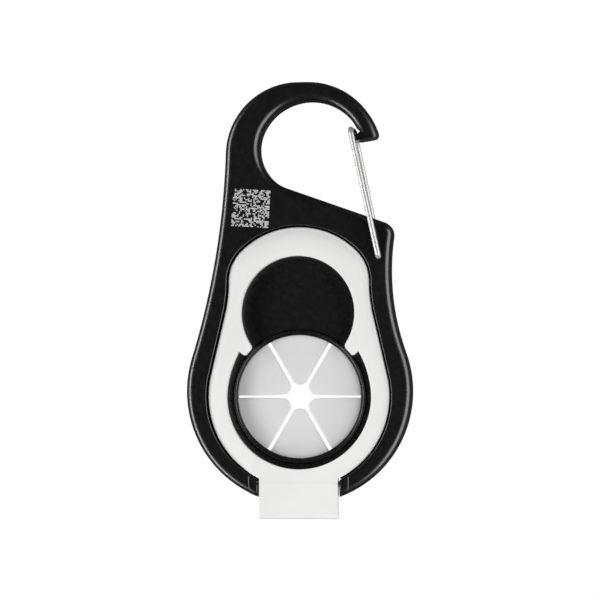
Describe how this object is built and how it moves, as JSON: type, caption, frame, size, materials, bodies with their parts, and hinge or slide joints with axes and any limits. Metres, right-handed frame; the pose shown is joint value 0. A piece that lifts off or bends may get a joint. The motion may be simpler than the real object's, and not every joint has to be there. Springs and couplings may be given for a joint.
{
  "type": "divot repair tool",
  "caption": "Black snap hook with a wire gate, a white flip-out frame in its front face and a grey slit rubber disc that grips what is pushed through it.",
  "frame": {"origin": "centre of the footprint of the part lying on its back, on the surface it lies on", "axes": "+Y towards the hook end, +Z out of the front face, +X to the side where the hook opens"},
  "size_m": [0.062, 0.1198, 0.0108],
  "materials": {
    "black_plastic": "satin moulded",
    "white_plastic": "satin moulded",
    "grey_rubber": "soft satin",
    "steel_wire": "polished drawn wire"
  },
  "bodies": {
    "root": {"carabiner_body": "black_plastic", "clamp_ring": "black_plastic", "grip_disc_rim": "grey_rubber", "hinge_pin": "steel_wire"},
    "flip_frame": {"flip_frame": "white_plastic"},
    "wire_gate": {"wire_gate": "steel_wire"},
    "petal_1": {"petal_1": "grey_rubber"},
    "petal_2": {"petal_2": "grey_rubber"},
    "petal_3": {"petal_3": "grey_rubber"},
    "petal_4": {"petal_4": "grey_rubber"},
    "petal_5": {"petal_5": "grey_rubber"},
    "petal_6": {"petal_6": "grey_rubber"}
  },
  "joints": [
    {"name": "frame_fold", "type": "hinge", "parent": "root", "child": "flip_frame", "pos_m": [0, -0.0503, 0.0076], "axis": [1, 0, 0], "range_deg": [0, 90]},
    {"name": "gate_swing", "type": "hinge", "parent": "root", "child": "wire_gate", "pos_m": [0.02195, 0.0118, 0.0045], "axis": [0, 0, 1], "range_deg": [0, 38], "stiffness_Nm_per_rad": 0.15, "springref_deg": -9.74},
    {"name": "petal_1_bend", "type": "hinge", "parent": "root", "child": "petal_1", "pos_m": [0.01334, -0.0188, 0.00485], "axis": [-0.5, 0.866, 0], "range_deg": [-40, 40], "stiffness_Nm_per_rad": 0.005},
    {"name": "petal_2_bend", "type": "hinge", "parent": "root", "child": "petal_2", "pos_m": [0, -0.0111, 0.00485], "axis": [-1, 0, 0], "range_deg": [-40, 40], "stiffness_Nm_per_rad": 0.005},
    {"name": "petal_3_bend", "type": "hinge", "parent": "root", "child": "petal_3", "pos_m": [-0.01334, -0.0188, 0.00485], "axis": [-0.5, -0.866, 0], "range_deg": [-40, 40], "stiffness_Nm_per_rad": 0.005},
    {"name": "petal_4_bend", "type": "hinge", "parent": "root", "child": "petal_4", "pos_m": [-0.01334, -0.0342, 0.00485], "axis": [0.5, -0.866, 0], "range_deg": [-40, 40], "stiffness_Nm_per_rad": 0.005},
    {"name": "petal_5_bend", "type": "hinge", "parent": "root", "child": "petal_5", "pos_m": [0, -0.0419, 0.00485], "axis": [1, 0, 0], "range_deg": [-40, 40], "stiffness_Nm_per_rad": 0.005},
    {"name": "petal_6_bend", "type": "hinge", "parent": "root", "child": "petal_6", "pos_m": [0.01334, -0.0342, 0.00485], "axis": [0.5, 0.866, 0], "range_deg": [-40, 40], "stiffness_Nm_per_rad": 0.005}
  ]
}
